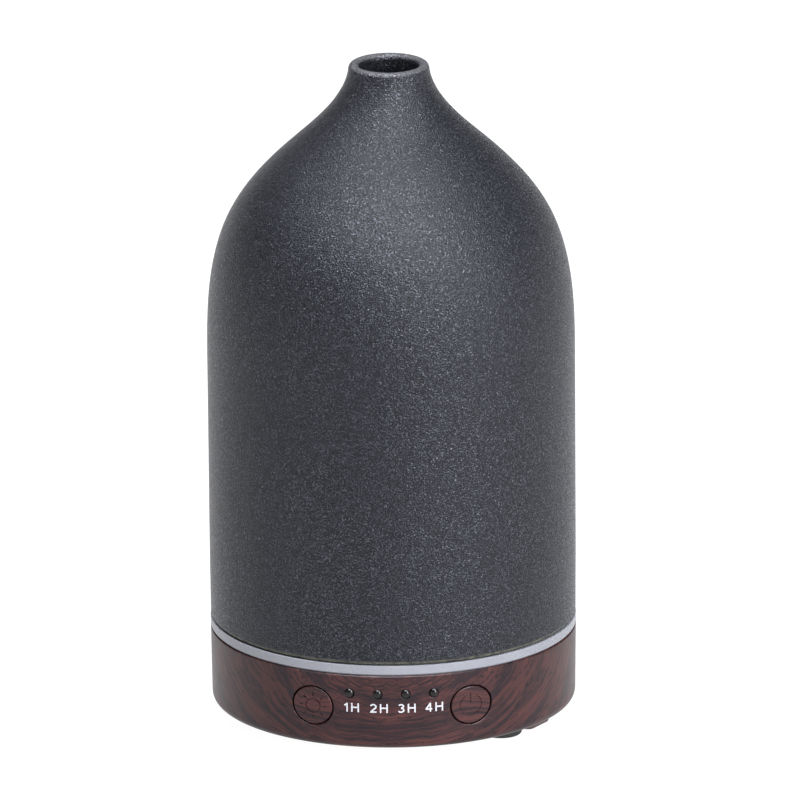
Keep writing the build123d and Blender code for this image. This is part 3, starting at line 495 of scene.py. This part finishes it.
def add_label(text, x_centre, look):
    """One printed mark, such as 1H, as a thin skin of strokes on the base."""
    width = sum(GLYPHS[letter][0] for letter in text) + GLYPH_GAP * (len(text) - 1)
    shape = bmesh.new()
    pen = -width / 2
    lift = LABEL_LIFT
    for letter in text:
        for points in GLYPHS[letter][1]:
            left, right = stroke_sides(points)
            rows = []
            for pair in zip(left, right):
                spots = ((x_centre + (pen + p.x) * LABEL_H, LABEL_Z + (p.y - 0.5) * LABEL_H) for p in pair)
                rows.append([shape.verts.new(wrap_on_base(x, z, lift)) for x, z in spots])
            for low, high in zip(rows, rows[1:]):
                shape.faces.new((low[1], high[1], high[0], low[0]))
            lift += STROKE_LIFT
        pen += GLYPHS[letter][0] + GLYPH_GAP
    mesh = bpy.data.meshes.new("label_" + text)
    shape.to_mesh(mesh)
    shape.free()
    mesh.materials.append(look)
    label = bpy.data.objects.new("label_" + text, mesh)
    bpy.context.scene.collection.objects.link(label)
    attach(label, "base")


def add_labels(look):
    """The four timer marks, in a row under their indicators."""
    for i in range(4):
        add_label(f"{i + 1}H", LABEL_SHIFT + (i - 1.5) * LABEL_PITCH, look)


# ---- stage ---------------------------------------------------------------------------------
FLOOR_GLOW = 0.98
DISH_FLAT_R = 1.0
DISH_RIM_R = 2.2
DISH_RIM_H = 0.12
DISH_STEPS = 12
FLOOR_HUB_R = 0.01
FLOOR_R = 40.0
FLOOR_SIDES = 96


def floor_profile():
    """Radius and height of the floor's rings: level, a smooth rise, and level again."""
    profile = [(FLOOR_HUB_R, 0.0)]
    for i in range(DISH_STEPS + 1):
        share = i / DISH_STEPS
        rise = share * share * (3 - 2 * share)
        profile.append((DISH_FLAT_R + (DISH_RIM_R - DISH_FLAT_R) * share, DISH_RIM_H * rise))
    return profile + [(FLOOR_R, DISH_RIM_H)]


def floor_mesh():
    shape = bmesh.new()
    middle = shape.verts.new((0, 0, 0))
    turns = [2 * math.pi * i / FLOOR_SIDES for i in range(FLOOR_SIDES)]
    rings = []
    for radius, z in floor_profile():
        rings.append([shape.verts.new((radius * math.cos(t), radius * math.sin(t), z)) for t in turns])
    for i in range(FLOOR_SIDES):
        after = (i + 1) % FLOOR_SIDES
        shape.faces.new((middle, rings[0][i], rings[0][after]))
        for inner, outer in zip(rings, rings[1:]):
            shape.faces.new((inner[i], outer[i], outer[after], inner[after]))
    mesh = bpy.data.meshes.new("floor")
    shape.to_mesh(mesh)
    shape.free()
    mesh.shade_smooth()
    return mesh


def floor_material():
    n = Nodes("floor")
    haze = n.noise(n.position(), 3, detail=2)
    tint = n.ramp(haze, ((0.3, (0.10, 0.10, 0.105)), (0.7, (0.12, 0.12, 0.125))))
    return n.set(Base_Color=tint, Roughness=0.9, Specular_IOR_Level=0.0, Emission_Color=(1.0, 1.0, 1.0),
                 Emission_Strength=FLOOR_GLOW)


def add_floor():
    """A pale floor that lifts a little far from the object, so that low views don't see past it."""
    floor = bpy.data.objects.new("floor", floor_mesh())
    floor.data.materials.append(floor_material())
    bpy.context.scene.collection.objects.link(floor)


SKY = (0.92, 0.95, 1.0, 1)
SKY_GLOW = 0.10
COOL_LIGHT = (0.94, 0.96, 1.0)
LIGHT_AIM = Vector((0, 0, 0.10))

# Each light: its name, its angle to the right of the front, height, distance from the axis, size and power.
LIGHTS = (
    ("key", 41, 0.42, 0.9, (0.25, 0.70), 15),
    ("top", 14, 1.05, 0.50, (0.9, 0.5), 24),
    ("left", -42, 1.12, 0.42, (0.5, 0.4), 10),
    ("rear", 195, 1.05, 0.60, (0.9, 0.5), 7),
)


def add_area(name, azimuth, height, distance, size, power):
    """A rectangular light that faces the object."""
    turn = math.radians(azimuth)
    place = Vector((distance * math.sin(turn), -distance * math.cos(turn), height))
    data = bpy.data.lights.new(name, "AREA")
    data.shape = "RECTANGLE"
    data.size, data.size_y = size
    data.energy = power
    data.color = COOL_LIGHT
    light = bpy.data.objects.new(name, data)
    light.location = place
    light.rotation_euler = (LIGHT_AIM - place).to_track_quat("-Z", "Y").to_euler()
    bpy.context.scene.collection.objects.link(light)


def add_lights():
    world = bpy.data.worlds.new("studio")
    world.use_nodes = True
    sky = world.node_tree.nodes["Background"]
    sky.inputs["Color"].default_value = SKY
    sky.inputs["Strength"].default_value = SKY_GLOW
    bpy.context.scene.world = world
    for light in LIGHTS:
        add_area(*light)
    bpy.context.scene.view_settings.view_transform = "Standard"


made = make_materials()
add_camera()
add_lights()
add_floor()
dress_nodes(made)
add_labels(made["white_print"])

bpy.context.view_layer.update()
